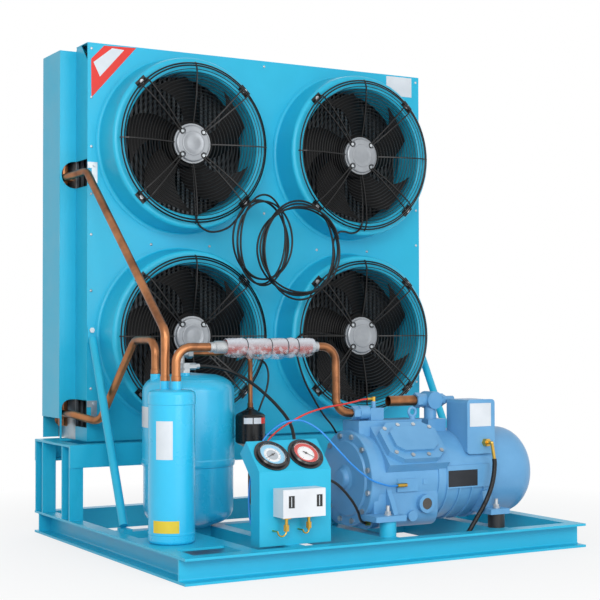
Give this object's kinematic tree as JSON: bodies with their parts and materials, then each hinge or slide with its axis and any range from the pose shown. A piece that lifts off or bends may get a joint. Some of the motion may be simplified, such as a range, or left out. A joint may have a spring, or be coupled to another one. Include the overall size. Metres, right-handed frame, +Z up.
{
  "type": "air-cooled condensing unit",
  "caption": "Air-cooled condensing unit: a condenser with wire-guarded fans behind a compressor, two vessels, a drier and a gauge console on a channel base.",
  "frame": {"origin": "centre of the bounding box, on the floor under the base rails", "axes": "+X to the right seen from the gauge console's side, +Y to the back through the condenser, +Z up"},
  "size_m": [1.2705, 1.0944, 1.4184],
  "materials": {
    "blue_paint": "gloss powder paint, sky blue",
    "compressor_paint": "sprayed enamel on castings, blue grey",
    "black_wire": "black powder coat on wire",
    "galvanised": "galvanised sheet and zinc plated screws",
    "silver_cap": "silver enamel on the fan motor caps",
    "aluminium_fins": "mill finish fins",
    "copper": "bare drawn copper tube",
    "brass": "turned brass",
    "black_plastic": "moulded black plastic",
    "white_plastic": "moulded white plastic",
    "clear_glass": "flat gauge glass",
    "cable_sheath": "black rubber and cable sheath",
    "clear_film": "clear bubble film around the braided absorber"
  },
  "bodies": {
    "unit": {"long_rails": "blue_paint", "side_rails": "blue_paint", "cross_members": "blue_paint", "stand_posts": "blue_paint", "stand_beams": "blue_paint", "stand_side_ties": "blue_paint", "panel_braces": "blue_paint", "fan_panel": "blue_paint", "fan_collars": "blue_paint", "shroud_walls": "blue_paint", "shroud_dividers": "blue_paint", "fin_coil": "aluminium_fins", "coil_end_plates": "galvanised", "header_pipework": "copper", "header_covers": "blue_paint", "pipe_brackets": "galvanised", "fan_guard_1": "black_wire", "fan_guard_2": "black_wire", "fan_guard_3": "black_wire", "fan_guard_4": "black_wire", "fan_motors": "silver_cap", "crankcase": "compressor_paint", "motor_housing": "compressor_paint", "bearing_cover": "compressor_paint", "cylinder_heads": "compressor_paint", "terminal_box": "compressor_paint", "terminal_box_lid": "compressor_paint", "suction_valve": "compressor_paint", "suction_stub": "copper", "discharge_valve": "compressor_paint", "oil_sight_glass": "clear_glass", "lifting_eye": "compressor_paint", "compressor_mounts": "cable_sheath", "compressor_bolts": "galvanised", "oil_separator": "blue_paint", "receiver": "blue_paint", "receiver_valves": "galvanised", "filter_drier": "black_plastic", "liquid_line": "copper", "hot_gas_pipe": "copper", "condensate_pipe": "copper", "discharge_pipe": "copper", "vibration_absorber": "clear_film", "console": "blue_paint", "gauge_cases": "black_plastic", "gauge_lenses": "clear_glass", "pressure_control": "white_plastic", "pressure_connectors": "brass", "casing_screws": "galvanised", "cable_glands": "brass", "fan_cables": "cable_sheath", "fan_cable_coils": "cable_sheath", "gauge_hoses": "cable_sheath", "compressor_cables": "cable_sheath"},
    "impeller_1": {"impeller_1": "black_plastic"},
    "impeller_2": {"impeller_2": "black_plastic"},
    "impeller_3": {"impeller_3": "black_plastic"},
    "impeller_4": {"impeller_4": "black_plastic"},
    "needle_low": {"needle_low": "black_plastic"},
    "needle_high": {"needle_high": "black_plastic"}
  },
  "joints": [
    {"name": "fan_spin_1", "type": "hinge", "parent": "unit", "child": "impeller_1", "pos_m": [-0.2503, 0.2712, 1.135], "axis": [0, -1, 0], "continuous": true},
    {"name": "fan_spin_2", "type": "hinge", "parent": "unit", "child": "impeller_2", "pos_m": [0.3317, 0.2712, 1.135], "axis": [0, -1, 0], "continuous": true},
    {"name": "fan_spin_3", "type": "hinge", "parent": "unit", "child": "impeller_3", "pos_m": [-0.2503, 0.2712, 0.572], "axis": [0, -1, 0], "continuous": true},
    {"name": "fan_spin_4", "type": "hinge", "parent": "unit", "child": "impeller_4", "pos_m": [0.3317, 0.2712, 0.572], "axis": [0, -1, 0], "continuous": true},
    {"name": "needle_turn_low", "type": "hinge", "parent": "unit", "child": "needle_low", "pos_m": [-0.3523, -0.44609, 0.28189], "axis": [0, -0.7071, 0.7071], "range_deg": [-240, 20]},
    {"name": "needle_turn_high", "type": "hinge", "parent": "unit", "child": "needle_high", "pos_m": [-0.2573, -0.44609, 0.28189], "axis": [0, -0.7071, 0.7071], "range_deg": [-5, 255]}
  ]
}
